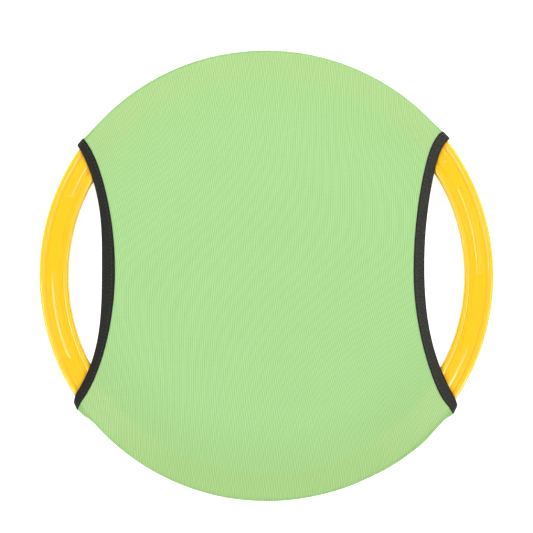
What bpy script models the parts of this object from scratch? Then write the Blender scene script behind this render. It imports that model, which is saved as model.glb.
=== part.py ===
"""Hand-held bounce disc: a plug-together plastic ring in a stretch-knit sleeve with two grip openings.

The disc lies on its back. +Z points out of its front face, and X runs through the two grip openings.
The origin is under the middle of the disc, on the surface that it lies on.
"""
import math

import bmesh
import bpy
from mathutils import Matrix, Vector

MM = 0.001

# Ring
RING_OUTER_RADIUS = 200.0 * MM
RING_INNER_RADIUS = 174.0 * MM
RING_THICKNESS = 11.0 * MM
OUTER_BEAD_RADIUS = 2.7 * MM
INNER_BEAD_RADIUS = 3.4 * MM
GROOVE_DEPTH = 1.4 * MM
GROOVE_HALF_WIDTH = 0.75 * MM
WEB_DEPTH = 0.8 * MM
WEB_OUTER_RADIUS = 193.1 * MM
WEB_INNER_RADIUS = 181.7 * MM
OVAL = 0.988

# Raised bars along the web, two on each arc, on both faces
BAR_OUTER_RADIUS = 188.5 * MM
BAR_INNER_RADIUS = 184.5 * MM
BAR_HEIGHT = 0.8 * MM
BAR_END_DEG = 10.3
BAR_LENGTH_DEG = 24.3
BAR_PITCH_DEG = 45.0

# Plug joints between the four arcs
JOINTS_DEG = (-54.8, 35.2, 123.3, 213.3, 305.2)
TOUCH_GAP = 0.3 * MM
JOINT_HALF_GAP = 0.18 * MM
SIDE_WALL = 2.2 * MM
CAVITY_HALF_HEIGHT = 2.9 * MM
CAVITY_CHAMFER = 1.0 * MM
SPIGOT_WALL = 1.3 * MM
SPIGOT_LENGTH = 16.0 * MM
SPIGOT_ROOT = 3.0 * MM
NUB_RADIUS = 1.5 * MM
NUB_HOLE_RADIUS = 1.9 * MM
NUB_SETBACK = 7.0 * MM
NUB_STAND = 0.2 * MM
NUB_SIDES = 16
HOLE_OVERRUN = 0.5 * MM

# Binding: a strip folded over the edge of the knit, with the knit in its slot
BINDING_PLY = 0.7 * MM
KNIT_THICKNESS = 0.8 * MM
SLOT_HEIGHT = KNIT_THICKNESS + 2.0 * TOUCH_GAP
BINDING_THICKNESS = SLOT_HEIGHT + 2.0 * BINDING_PLY
SLOT_END = 0.2
FOLD_CHAMFER = 0.06
KNIT_EDGE = 0.36

# Knit skirt round the outside of the ring
SKIRT_CLEARANCE = 0.4 * MM
SKIRT_HOLD_DEG = 3.5
SKIRT_DROP_DEG = 6.5

# Heights over the surface that the disc lies on
RING_HALF = RING_THICKNESS / 2.0
MID_HEIGHT = RING_HALF + TOUCH_GAP + BINDING_THICKNESS
SLOT_MIDDLE = TOUCH_GAP + BINDING_THICKNESS / 2.0

# Steps and tolerances of the surfaces
RING_STEP_DEG = 4.5
BEAD_TURN_DEG = 135.0
BEAD_STEPS = 3
OPENING_STEPS = 22
SHOULDER_STEPS = 3
SHARP_DEG = 35.0
FLAT_TOLERANCE = 0.01 * MM


class Corner:
    """Where an edge meets the ring, and the shape of the half of the edge that leads there.

    That half leaves the edge's deepest point as a blend of a parabola and a steeper power.
    """

    def __init__(self, angle_deg, parabola, power):
        self.angle_deg = angle_deg
        self.parabola = parabola
        self.power = power

    def bend(self, across):
        return self.parabola * across ** 2 + (1.0 - self.parabola) * across ** self.power


class Edge:
    """Plan curve of one edge across an opening, from its lower corner to its upper corner on the ring."""

    def __init__(self, depth, depth_y, low, high):
        self.depth = depth
        self.depth_y = depth_y
        self.low = low
        self.high = high
        self.low_deg = low.angle_deg
        self.high_deg = high.angle_deg

    def plan_points(self, radius, steps):
        """Return the curve's plan points, deepest at depth_y, ending on a circle at both corners."""
        low = polar(radius, self.low_deg)
        high = polar(radius, self.high_deg)
        points = []
        for step in range(steps + 1):
            y = low.y + (high.y - low.y) * step / steps
            corner, end = (self.high, high) if y > self.depth_y else (self.low, low)
            share = corner.bend(abs((y - self.depth_y) / (end.y - self.depth_y)))
            points.append(Vector((self.depth + (end.x - self.depth) * share, y)))
        return points


class EdgeBetween:
    """The curve that lies a share of the way from one edge to another."""

    def __init__(self, first, second, share):
        self.first = first
        self.second = second
        self.share = share
        self.low_deg = first.low_deg + (second.low_deg - first.low_deg) * share
        self.high_deg = first.high_deg + (second.high_deg - first.high_deg) * share

    def plan_points(self, radius, steps):
        pairs = zip(self.first.plan_points(radius, steps), self.second.plan_points(radius, steps))
        return [point.lerp(beside, self.share) for point, beside in pairs]


def polar(radius, angle_deg):
    angle = math.radians(angle_deg)
    return Vector((radius * math.cos(angle), radius * math.sin(angle)))


# The fold of each binding faces the grip, and its open edge lies on the knit.
RIGHT_FOLD = Edge(138.7 * MM, 9.5 * MM, Corner(-33.1, 0.43, 2.95), Corner(37.0, 0.81, 16.0))
RIGHT_OPEN_EDGE = Edge(129.1 * MM, 4.0 * MM, Corner(-36.0, 0.88, 16.0), Corner(39.8, 0.77, 13.3))
LEFT_FOLD = Edge(-144.5 * MM, 17.3 * MM, Corner(212.0, 0.0, 3.5), Corner(145.7, 0.0, 2.5))
LEFT_OPEN_EDGE = Edge(-132.8 * MM, 4.9 * MM, Corner(214.6, 0.85, 7.5), Corner(143.1, 0.85, 9.7))


def clear_scene():
    for item in list(bpy.data.objects):
        bpy.data.objects.remove(item, do_unlink=True)


def plastic_material():
    material = bpy.data.materials.new("yellow_plastic")
    material.use_nodes = True
    shader = material.node_tree.nodes["Principled BSDF"]
    shader.inputs["Base Color"].default_value = (0.98, 0.62, 0.02, 1.0)
    shader.inputs["Roughness"].default_value = 0.3
    shader.inputs["Metallic"].default_value = 0.0
    return material


def knit_material():
    material = bpy.data.materials.new("green_knit")
    material.use_nodes = True
    shader = material.node_tree.nodes["Principled BSDF"]
    shader.inputs["Base Color"].default_value = (0.45, 0.76, 0.31, 1.0)
    shader.inputs["Roughness"].default_value = 0.85
    shader.inputs["Metallic"].default_value = 0.0
    return material


def binding_material():
    material = bpy.data.materials.new("black_binding")
    material.use_nodes = True
    shader = material.node_tree.nodes["Principled BSDF"]
    shader.inputs["Base Color"].default_value = (0.03, 0.03, 0.028, 1.0)
    shader.inputs["Roughness"].default_value = 0.9
    shader.inputs["Metallic"].default_value = 0.0
    return material


def finish_object(name, mesh_data, material, frame):
    """Turn a bmesh into a named object under the frame, with its faces pointing out."""
    bmesh.ops.recalc_face_normals(mesh_data, faces=mesh_data.faces)
    mesh = bpy.data.meshes.new(name)
    mesh_data.to_mesh(mesh)
    mesh_data.free()
    mesh.materials.append(material)
    mesh.shade_smooth()
    mesh.set_sharp_from_angle(angle=math.radians(SHARP_DEG))
    item = bpy.data.objects.new(name, mesh)
    bpy.context.scene.collection.objects.link(item)
    item.parent = frame
    return item


def arc_points(centre_radius, centre_height, radius, start_deg, end_deg, steps):
    points = []
    for step in range(steps + 1):
        angle = math.radians(start_deg + (end_deg - start_deg) * step / steps)
        points.append((centre_radius + radius * math.cos(angle), centre_height + radius * math.sin(angle)))
    return points


def mirror_closed(upper):
    """Close an upper half-section with its mirror image below the mid-plane."""
    lower = [(radius, -height) for radius, height in reversed(upper)]
    return upper + lower


def ring_section():
    """Section of the bare ring: a bead at each edge, a groove beside each bead and a flat web between."""
    web_height = RING_HALF - WEB_DEPTH
    groove_height = RING_HALF - GROOVE_DEPTH
    outer_bead = arc_points(
        RING_OUTER_RADIUS - OUTER_BEAD_RADIUS, RING_HALF - OUTER_BEAD_RADIUS, OUTER_BEAD_RADIUS,
        0.0, BEAD_TURN_DEG, BEAD_STEPS)
    inner_bead = arc_points(
        RING_INNER_RADIUS + INNER_BEAD_RADIUS, RING_HALF - INNER_BEAD_RADIUS, INNER_BEAD_RADIUS,
        180.0 - BEAD_TURN_DEG, 180.0, BEAD_STEPS)
    web = [
        (WEB_OUTER_RADIUS + GROOVE_HALF_WIDTH, groove_height),
        (WEB_OUTER_RADIUS, web_height),
        (BAR_OUTER_RADIUS, web_height),
        (BAR_INNER_RADIUS, web_height),
        (WEB_INNER_RADIUS, web_height),
        (WEB_INNER_RADIUS - GROOVE_HALF_WIDTH, groove_height),
    ]
    return mirror_closed(outer_bead + web + inner_bead)


def box_section(inset):
    """Chamfered box section of the arc's cavity, or of a spigot when inset."""
    outer = RING_OUTER_RADIUS - SIDE_WALL - inset
    inner = RING_INNER_RADIUS + SIDE_WALL + inset
    height = CAVITY_HALF_HEIGHT - inset
    chamfer = CAVITY_CHAMFER - inset / 2.0
    return mirror_closed([
        (outer, height - chamfer),
        (outer - chamfer, height),
        (inner + chamfer, height),
        (inner, height - chamfer),
    ])


def spin_section(mesh_data, section, stops):
    """Sweep a section loop round Z through the given angles, and return its first and last edge loops."""
    start = Matrix.Rotation(stops[0], 3, "Z")
    corners = [mesh_data.verts.new(start @ Vector((radius, 0.0, height))) for radius, height in section]
    first = []
    for index, corner in enumerate(corners):
        first.append(mesh_data.edges.new((corner, corners[(index + 1) % len(corners)])))
    last = list(first)
    for low, high in zip(stops, stops[1:]):
        steps = max(1, math.ceil(math.degrees(high - low) / RING_STEP_DEG - 0.01))
        swept = bmesh.ops.spin(
            mesh_data, geom=corners + last, cent=(0.0, 0.0, 0.0), axis=(0.0, 0.0, 1.0),
            angle=high - low, steps=steps, use_duplicate=False)
        corners = [part for part in swept["geom_last"] if isinstance(part, bmesh.types.BMVert)]
        last = [part for part in swept["geom_last"] if isinstance(part, bmesh.types.BMEdge)]
    return first, last


def close_between(mesh_data, outer_loop, inner_loop):
    """Fill the flat band between two loops that lie in one plane."""
    bmesh.ops.triangle_fill(mesh_data, edges=outer_loop + inner_loop, use_beauty=True)


def raise_bars(mesh_data, spans):
    """Extrude the web's middle strip between each pair of angles into a raised bar, on both faces."""
    bar_middle = (BAR_OUTER_RADIUS + BAR_INNER_RADIUS) / 2.0
    bar_half_width = (BAR_OUTER_RADIUS - BAR_INNER_RADIUS) / 2.0
    for low, high in spans:
        for side in (1.0, -1.0):
            strip = []
            for face in mesh_data.faces:
                centre = face.calc_center_median()
                angle = math.atan2(centre.y, centre.x)
                on_web = abs(centre.z * side - (RING_HALF - WEB_DEPTH)) < FLAT_TOLERANCE
                in_middle = abs(centre.to_2d().length - bar_middle) < bar_half_width
                if on_web and in_middle and low < angle < high:
                    strip.append(face)
            raised = bmesh.ops.extrude_face_region(mesh_data, geom=strip)
            corners = [part for part in raised["geom"] if isinstance(part, bmesh.types.BMVert)]
            bmesh.ops.translate(mesh_data, verts=corners, vec=(0.0, 0.0, side * BAR_HEIGHT))
            bmesh.ops.delete(mesh_data, geom=strip, context="FACES")


def nub_cutter(name, radius, low, high, arc):
    """Upright round pin at the snap point near the arc's end, hidden, for a Boolean."""
    mesh_data = bmesh.new()
    bmesh.ops.create_cone(
        mesh_data, cap_ends=True, segments=NUB_SIDES, radius1=radius, radius2=radius, depth=high - low)
    mesh = bpy.data.meshes.new(name)
    mesh_data.to_mesh(mesh)
    mesh_data.free()
    pin = bpy.data.objects.new(name, mesh)
    bpy.context.scene.collection.objects.link(pin)
    pin.parent = arc
    pin.location.z = (low + high) / 2.0
    pin.hide_render = True
    pin.display_type = "WIRE"
    return pin


def place_at_snap_point(pin, joint_angle):
    """Put a pin on the web's middle, a little before the joint that the spigot plugs through."""
    radius = (WEB_OUTER_RADIUS + WEB_INNER_RADIUS) / 2.0
    angle = joint_angle - NUB_SETBACK / radius
    pin.location.x = radius * math.cos(angle)
    pin.location.y = radius * math.sin(angle)


def add_boolean(item, operation, tool):
    modifier = item.modifiers.new(operation.lower(), "BOOLEAN")
    modifier.operation = operation
    modifier.solver = "EXACT"
    modifier.object = tool


def ring_arc(name, start_deg, end_deg, material, frame):
    """Hollow arc from one joint to the next, with its spigot in the arc before it.

    It is modelled about the first joint's angle of zero, then turned to its place.
    """
    middle_radius = (RING_OUTER_RADIUS + RING_INNER_RADIUS) / 2.0
    sweep_deg = end_deg - start_deg
    shoulder = JOINT_HALF_GAP / middle_radius
    mouth = math.radians(sweep_deg) - shoulder
    tip = -SPIGOT_LENGTH / middle_radius
    root = SPIGOT_ROOT / middle_radius

    last_bar_end = math.radians(sweep_deg - BAR_END_DEG)
    bar_sweep = math.radians(BAR_LENGTH_DEG)
    bar_ends = (last_bar_end - math.radians(BAR_PITCH_DEG), last_bar_end)
    spans = [(bar_end - bar_sweep, bar_end) for bar_end in bar_ends]
    bar_stops = [angle for span in spans for angle in span]

    mesh_data = bmesh.new()
    outside = spin_section(mesh_data, ring_section(), [shoulder] + bar_stops + [mouth])
    cavity = spin_section(mesh_data, box_section(0.0), [root, mouth])
    spigot = spin_section(mesh_data, box_section(TOUCH_GAP), [tip, shoulder])
    bore = spin_section(mesh_data, box_section(TOUCH_GAP + SPIGOT_WALL), [tip, root])
    raise_bars(mesh_data, spans)
    close_between(mesh_data, outside[1], cavity[1])
    close_between(mesh_data, cavity[0], bore[1])
    close_between(mesh_data, spigot[0], bore[0])
    close_between(mesh_data, outside[0], spigot[1])

    arc = finish_object(name, mesh_data, material, frame)
    arc.rotation_euler.z = math.radians(start_deg)

    web_height = RING_HALF - WEB_DEPTH
    nub_low = CAVITY_HALF_HEIGHT - TOUCH_GAP - SPIGOT_WALL / 2.0
    nub = nub_cutter(name + "_nub", NUB_RADIUS, nub_low, web_height + NUB_STAND, arc)
    place_at_snap_point(nub, 0.0)
    add_boolean(arc, "UNION", nub)
    hole_low = CAVITY_HALF_HEIGHT - HOLE_OVERRUN
    hole = nub_cutter(name + "_hole", NUB_HOLE_RADIUS, hole_low, RING_HALF + HOLE_OVERRUN, arc)
    place_at_snap_point(hole, math.radians(sweep_deg))
    add_boolean(arc, "DIFFERENCE", hole)
    return arc


def wrap_offsets(clearance):
    """Radius past the bead's centre, and height, of the points that wrap from the front to the mid-plane."""
    bend = OUTER_BEAD_RADIUS + clearance
    points = []
    for step in range(SHOULDER_STEPS + 1):
        angle = math.radians(90.0 * (1.0 - step / SHOULDER_STEPS))
        points.append((bend * math.cos(angle), RING_HALF - OUTER_BEAD_RADIUS + bend * math.sin(angle)))
    return points


def binding_line(fold, open_edge, share, clearance):
    """Closed line round an opening: over the front, round the rim, across the back and round again."""
    edge = EdgeBetween(fold, open_edge, share)
    radius = RING_OUTER_RADIUS - OUTER_BEAD_RADIUS
    across = edge.plan_points(radius, OPENING_STEPS)
    height = RING_HALF + clearance
    wrap = wrap_offsets(clearance)[1:]
    front = [Vector((point.x, point.y, height)) for point in across]
    back = [Vector((point.x, point.y, -height)) for point in reversed(across)]

    def rim(angle_deg, upper):
        """Return the points round the rim at one corner, front to back if upper."""
        sequence = wrap + [(out, -up) for out, up in reversed(wrap)]
        if not upper:
            sequence = [(out, -up) for out, up in sequence]
        points = []
        for out, up in sequence:
            spot = polar(radius + out, angle_deg)
            points.append(Vector((spot.x, spot.y, up)))
        return points

    return front + rim(edge.high_deg, True) + back + rim(edge.low_deg, False)


def binding(name, fold, open_edge, material, frame):
    """Fold-over strip round one opening: a U section whose slot holds the edge of the knit."""
    inner = TOUCH_GAP
    outer = TOUCH_GAP + BINDING_THICKNESS
    section = [
        (FOLD_CHAMFER, inner),
        (1.0, inner),
        (1.0, inner + BINDING_PLY),
        (SLOT_END, inner + BINDING_PLY),
        (SLOT_END, outer - BINDING_PLY),
        (1.0, outer - BINDING_PLY),
        (1.0, outer),
        (FOLD_CHAMFER, outer),
        (0.0, outer - BINDING_PLY),
        (0.0, inner + BINDING_PLY),
    ]
    mesh_data = bmesh.new()
    rails = []
    for share, clearance in section:
        rails.append([mesh_data.verts.new(p) for p in binding_line(fold, open_edge, share, clearance)])
    count = len(rails[0])
    for rail, next_rail in zip(rails, rails[1:] + rails[:1]):
        for step in range(count):
            after = (step + 1) % count
            mesh_data.faces.new((rail[step], rail[after], next_rail[after], next_rail[step]))
    return finish_object(name, mesh_data, material, frame)


def skirt_clearance(angle_deg, low_deg, high_deg):
    """Clearance of the skirt's middle: close to the ring, and lifted into the bindings at its ends."""
    close = SKIRT_CLEARANCE + KNIT_THICKNESS / 2.0
    from_end = min(angle_deg - low_deg, high_deg - angle_deg)
    share = min(1.0, max(0.0, (from_end - SKIRT_HOLD_DEG) / SKIRT_DROP_DEG))
    smooth = share * share * (3.0 - 2.0 * share)
    return SLOT_MIDDLE + (close - SLOT_MIDDLE) * smooth


def rim_columns(mesh_data, low_deg, high_deg, side):
    """Columns of vertices from the flat field round the rim to the seam, for one covered arc."""
    radius = RING_OUTER_RADIUS - OUTER_BEAD_RADIUS
    steps = math.ceil((high_deg - low_deg) / RING_STEP_DEG)
    columns = []
    for step in range(steps + 1):
        angle_deg = low_deg + (high_deg - low_deg) * step / steps
        bend = OUTER_BEAD_RADIUS + skirt_clearance(angle_deg, low_deg, high_deg)
        column = []
        for out, up in wrap_offsets(SLOT_MIDDLE) + [(OUTER_BEAD_RADIUS + SLOT_MIDDLE, TOUCH_GAP / 2.0)]:
            spot = polar(radius + out * bend / (OUTER_BEAD_RADIUS + SLOT_MIDDLE), angle_deg)
            column.append(mesh_data.verts.new((spot.x, spot.y, side * up)))
        columns.append(column)
    return columns


def knit_panel(name, side, material, frame):
    """One knit face of the sleeve: a flat field with a skirt round the covered rim, side 1 front, -1 back."""
    right = EdgeBetween(RIGHT_FOLD, RIGHT_OPEN_EDGE, KNIT_EDGE)
    left = EdgeBetween(LEFT_FOLD, LEFT_OPEN_EDGE, KNIT_EDGE)
    radius = RING_OUTER_RADIUS - OUTER_BEAD_RADIUS
    height = side * (RING_HALF + SLOT_MIDDLE)

    mesh_data = bmesh.new()
    top = rim_columns(mesh_data, right.high_deg, left.high_deg, side)
    bottom = rim_columns(mesh_data, left.low_deg, right.low_deg + 360.0, side)
    left_edge = []
    for point in reversed(left.plan_points(radius, OPENING_STEPS)[1:-1]):
        left_edge.append(mesh_data.verts.new((point.x, point.y, height)))
    right_edge = []
    for point in right.plan_points(radius, OPENING_STEPS)[1:-1]:
        right_edge.append(mesh_data.verts.new((point.x, point.y, height)))

    outline = [column[0] for column in top] + left_edge + [column[0] for column in bottom] + right_edge
    mesh_data.faces.new(outline)
    for columns in (top, bottom):
        for column, after in zip(columns, columns[1:]):
            for row in range(len(column) - 1):
                mesh_data.faces.new((column[row], after[row], after[row + 1], column[row + 1]))

    panel = finish_object(name, mesh_data, material, frame)
    thickness = panel.modifiers.new("thickness", "SOLIDIFY")
    thickness.thickness = KNIT_THICKNESS
    thickness.offset = 0.0
    thickness.use_even_offset = True
    return panel


def main():
    clear_scene()
    frame = bpy.data.objects.new("disc_frame", None)
    bpy.context.scene.collection.objects.link(frame)
    frame.location.z = MID_HEIGHT
    frame.scale.y = OVAL

    plastic = plastic_material()
    for place, start_deg, end_deg in zip(("right", "top", "left", "bottom"), JOINTS_DEG, JOINTS_DEG[1:]):
        ring_arc(place + "_ring_arc", start_deg, end_deg, plastic, frame)

    knit = knit_material()
    knit_panel("front_panel", 1.0, knit, frame)
    knit_panel("back_panel", -1.0, knit, frame)

    tape = binding_material()
    binding("right_binding", RIGHT_FOLD, RIGHT_OPEN_EDGE, tape, frame)
    binding("left_binding", LEFT_FOLD, LEFT_OPEN_EDGE, tape, frame)


main()
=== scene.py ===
"""Looks of the hand-held bounce disc: a glossy plug-together ring in a ribbed stretch-knit sleeve.

Everything is in metres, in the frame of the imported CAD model, which gives the disc's main sizes.
"""
import math
from typing import NamedTuple

import bmesh
import bpy
import numpy as np
from mathutils import Matrix, Vector


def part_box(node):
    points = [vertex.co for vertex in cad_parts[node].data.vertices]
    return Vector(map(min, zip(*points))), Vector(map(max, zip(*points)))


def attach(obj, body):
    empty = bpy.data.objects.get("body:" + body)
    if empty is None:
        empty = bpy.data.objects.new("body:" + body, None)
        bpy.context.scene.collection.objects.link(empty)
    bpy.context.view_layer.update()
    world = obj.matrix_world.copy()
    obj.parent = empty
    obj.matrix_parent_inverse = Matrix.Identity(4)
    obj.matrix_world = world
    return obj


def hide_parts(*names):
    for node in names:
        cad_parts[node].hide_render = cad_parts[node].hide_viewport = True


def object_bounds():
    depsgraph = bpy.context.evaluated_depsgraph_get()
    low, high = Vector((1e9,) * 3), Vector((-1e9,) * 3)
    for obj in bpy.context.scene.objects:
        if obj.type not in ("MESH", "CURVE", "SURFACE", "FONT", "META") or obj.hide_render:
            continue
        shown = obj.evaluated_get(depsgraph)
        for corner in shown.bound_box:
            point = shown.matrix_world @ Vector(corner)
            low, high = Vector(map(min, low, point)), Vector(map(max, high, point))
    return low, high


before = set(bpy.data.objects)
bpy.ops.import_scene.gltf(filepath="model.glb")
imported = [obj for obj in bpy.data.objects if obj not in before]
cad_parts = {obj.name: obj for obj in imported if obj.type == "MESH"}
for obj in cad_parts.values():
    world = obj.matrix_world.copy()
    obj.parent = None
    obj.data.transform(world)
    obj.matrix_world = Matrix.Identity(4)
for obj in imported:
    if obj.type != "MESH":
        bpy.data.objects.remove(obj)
cad_low, cad_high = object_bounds()

MM = 0.001

# Sizes read from the frame
ARC_LOW, ARC_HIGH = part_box("right_ring_arc")
RING_OUTER = ARC_HIGH.x
RING_HALF = (ARC_HIGH.z - ARC_LOW.z) / 2.0
MID_HEIGHT = (ARC_HIGH.z + ARC_LOW.z) / 2.0
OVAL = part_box("top_ring_arc")[1].y / RING_OUTER
TAPE_REACH = cad_high.z - ARC_HIGH.z

# Ring section: a round bead along each edge, and grooves, a flat web and raised bars between them. The cloth
# turns round the outer bead at RIM_RADIUS, on a bend of OUTER_BEAD.
RING_INNER = RING_OUTER - 26.0 * MM
OUTER_BEAD = 2.7 * MM
RIM_RADIUS = RING_OUTER - OUTER_BEAD
RIM_SHOULDER = RING_HALF - OUTER_BEAD
CROWN_OUTER = 3.0 * MM
CROWN_INNER = 2.9 * MM
INNER_SKIRT = 0.2 * MM
SKIRT_DROP = 1.5 * MM
SIDE_BEAD_STEPS = 7
OUTER_FACE_STEPS = 17
INNER_FACE_STEPS = 19
WEB_HEIGHT = RING_HALF - 0.8 * MM
GROOVE_HEIGHT = RING_HALF - 1.5 * MM
WEB_OUTER = RING_OUTER - 6.9 * MM
WEB_INNER = RING_INNER + 7.7 * MM
WEB_SHOULDER = 0.6 * MM
BAR_OUTER = RING_OUTER - 11.5 * MM
BAR_INNER = RING_OUTER - 15.5 * MM
BAR_RISE = 0.75 * MM
BAR_SLOPE = 1.1 * MM
BAR_ROUNDING = 0.55 * MM
BAR_END_DEG = 10.2
BAR_LENGTH_DEG = 24.5
BAR_PITCH_DEG = 45.0
LIP_OUTER = WEB_OUTER - WEB_SHOULDER
LIP_INNER = WEB_OUTER - 2.0 * MM
LIP_RISE = 0.35 * MM
LIP_SLOPE = 0.5 * MM
LIP_ROUNDING = 0.2 * MM
LIP_LENGTH_DEG = 2.3
EDGE_SEGMENTS = 4
LEVEL_TOLERANCE = 0.02 * MM

# Plug joints of the four arcs
JOINTS_DEG = (-54.8, 35.2, 123.3, 213.3, 305.2)
JOINT_HALF_GAP = 0.048 * MM
SPIGOT_GAP = 0.3 * MM
SIDE_WALL = 2.2 * MM
CAVITY_HALF = 2.9 * MM
CAVITY_CHAMFER = 1.0 * MM
SPIGOT_WALL = 1.3 * MM
SPIGOT_LENGTH = 16.0 * MM
SPIGOT_ROOT = 3.0 * MM
NUB_RADIUS = 1.5 * MM
NUB_HOLE_RADIUS = 1.54 * MM
NUB_STAND = 0.5 * MM
NUB_SETBACK = 7.0 * MM
NUB_SIDES = 40
NUB_DOME_STEPS = 8
HOLE_OVERRUN = 0.5 * MM
RING_STEP_DEG = 1.5
RING_SHARP_DEG = 38.0

# Soft parts: the knit's thickness, heights over the ring's face, and where in a tape's width the knit ends
KNIT = 0.5 * MM
TAPE_CLEARANCE = 0.12 * MM
TAPE_TOP = TAPE_REACH - 1.1 * MM
SLOT_MIDDLE = (TAPE_CLEARANCE + TAPE_TOP) / 2.0
KNIT_ON_RING = 0.08 * MM + KNIT / 2.0
KNIT_END_SHARE = 0.3
SOFT_SHARP_DEG = 60.0

# Knit pattern, in turns per metre, with the place its wales fan out from
NEAR_WALES = 389.0
FAR_WALES = 643.0
LEAN_ACROSS = 82.5
LEAN_ALONG = 70.7
LEAN_WANDER = 1.1
FAN_RATE = 7696.0
FAN_CENTRE_X = 14.0 * MM
FAN_CENTRE_Y = 13.0 * MM
FAN_LIMIT = 0.0335
COURSE_PITCH = 1.15 * MM
LOOP_LEAN = 1.1

# Plastic colours, with how far each is mixed in: painted light on the beads, a painted highlight on raised
# edges, and painted shade in the grooves, down the sides and where something lies near
PLASTIC = ((0.985, 0.575, 0.006, 1.0), (0.995, 0.605, 0.009, 1.0))
PLASTIC_BEAD_LIGHT, BEAD_LIGHT_MIX = (1.0, 0.69, 0.035, 1.0), 0.4
PLASTIC_EDGE_HIGHLIGHT, EDGE_HIGHLIGHT_MIX = (1.0, 0.73, 0.24, 1.0), 0.1
PLASTIC_GROOVE_SHADE, GROOVE_SHADE_MIX = (1.0, 0.45, 0.0, 1.0), 0.12
PLASTIC_SIDE_SHADE, SIDE_SHADE_MIX = (1.0, 0.42, 0.0, 1.0), 0.7
PLASTIC_CONTACT_SHADE, CONTACT_SHADE_MIX = (1.0, 0.4, 0.0, 1.0), 0.7
CONTACT_REACH = 8.0 * MM

# Cloth colours, the tint where the ring shows through, and the painted shades that the knit is multiplied by
# near the ring and round its rim
KNIT_PALE = ((0.462, 0.758, 0.328, 1.0), (0.444, 0.737, 0.312, 1.0))
KNIT_DARK = ((0.302, 0.533, 0.199, 1.0), (0.292, 0.519, 0.19, 1.0))
OVER_RING_SHADE, OVER_RING_MIX = (1.08, 0.94, 0.9, 1.0), 0.6
LOW_RIM_PAINTED_SHADE = (0.92, 0.953, 0.88, 1.0)
NEAR_RIM_PAINTED_SHADES = ((0.99, 0.98, 0.96, 1.0), (0.95, 0.943, 0.9, 1.0))
ROUND_RIM_PAINTED_SHADE, ROUND_RIM_MIX = (0.78, 0.93, 0.7, 1.0), 0.55
HIGH_RIM_PAINTED_SHADE = (0.84, 0.84, 0.84, 1.0)
TAPE_DARK = ((0.0076, 0.0076, 0.0064, 1.0), (0.0107, 0.0106, 0.009, 1.0))
TAPE_LIGHT = ((0.0445, 0.0445, 0.0345, 1.0), (0.037, 0.0375, 0.03, 1.0))
THREAD = ((0.012, 0.012, 0.012, 1.0), (0.045, 0.045, 0.043, 1.0))
TAPE_RIB_PITCH = 0.95 * MM
TAPE_YARN_PITCH = 0.8 * MM
THREAD_TWIST_PITCH = 0.3 * MM


class Corner(NamedTuple):
    """Where an edge meets the rim: its angle there and at its outermost point, and its stand-off."""
    angle_deg: float
    tip_deg: float
    stand: float

    def turned(self, degrees):
        return Corner(self.angle_deg + degrees, self.tip_deg + degrees, self.stand)

    def mix(self, other, share):
        return Corner(*(start + (end - start) * share for start, end in zip(self, other)))

    def outside(self, out):
        """Plan point a distance out from the rim's crest, leaning from the rim angle to the tip angle."""
        share = out / (OUTER_BEAD + TAPE_TOP + self.stand)
        return polar(RIM_RADIUS + out, self.angle_deg + (self.tip_deg - self.angle_deg) * share)


class Edge(NamedTuple):
    """Plan curve of one edge across an opening, from its lower corner to its upper one.

    Each half leaves the deepest point as a blend of a parabola and a steeper power, and its bend is the
    parabola's share and the power.
    """
    depth: float
    depth_y: float
    low: Corner
    low_bend: tuple
    high: Corner
    high_bend: tuple

    def plan_points(self, radius, steps):
        """Points across the opening, ending on a circle of the given radius at both corners."""
        low = polar(radius, self.low.angle_deg)
        high = polar(radius, self.high.angle_deg)
        points = []
        for step in range(steps + 1):
            y = low.y + (high.y - low.y) * step / steps
            end, bend = (high, self.high_bend) if y > self.depth_y else (low, self.low_bend)
            parabola, power = bend
            across = abs((y - self.depth_y) / (end.y - self.depth_y))
            share = parabola * across ** 2 + (1.0 - parabola) * across ** power
            points.append(Vector((self.depth + (end.x - self.depth) * share, y)))
        return points


class EdgeBetween:
    """The curve that lies a share of the way from one edge to another."""

    def __init__(self, first, second, share):
        self.first = first
        self.second = second
        self.share = share
        self.low = first.low.mix(second.low, share)
        self.high = first.high.mix(second.high, share)

    def plan_points(self, radius, steps):
        pairs = zip(self.first.plan_points(radius, steps), self.second.plan_points(radius, steps))
        return [point.lerp(beside, self.share) for point, beside in pairs]


def polar(radius, angle_deg):
    angle = math.radians(angle_deg)
    return Vector((radius * math.cos(angle), radius * math.sin(angle)))


# Each opening has a folded edge that faces the grip and an open edge that lies on the knit.
RIGHT_FOLD = Edge(
    138.7 * MM, 9.5 * MM,
    Corner(-33.1, -34.4, 2.1 * MM), (0.43, 2.95),
    Corner(37.0, 37.1, 0.8 * MM), (0.81, 16.0))
RIGHT_OPEN = Edge(
    129.1 * MM, 4.0 * MM,
    Corner(-36.0, -37.0, 3.9 * MM), (0.88, 16.0),
    Corner(39.8, 39.7, 0.0), (0.77, 13.3))
LEFT_FOLD = Edge(
    -144.5 * MM, 17.3 * MM,
    Corner(212.0, 213.6, 1.8 * MM), (0.0, 3.5),
    Corner(145.7, 145.1, 1.4 * MM), (0.0, 2.6))
LEFT_OPEN = Edge(
    -132.8 * MM, 4.9 * MM,
    Corner(214.6, 215.8, 3.3 * MM), (0.85, 7.5),
    Corner(143.1, 142.7, 0.9 * MM), (0.85, 9.7))

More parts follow.
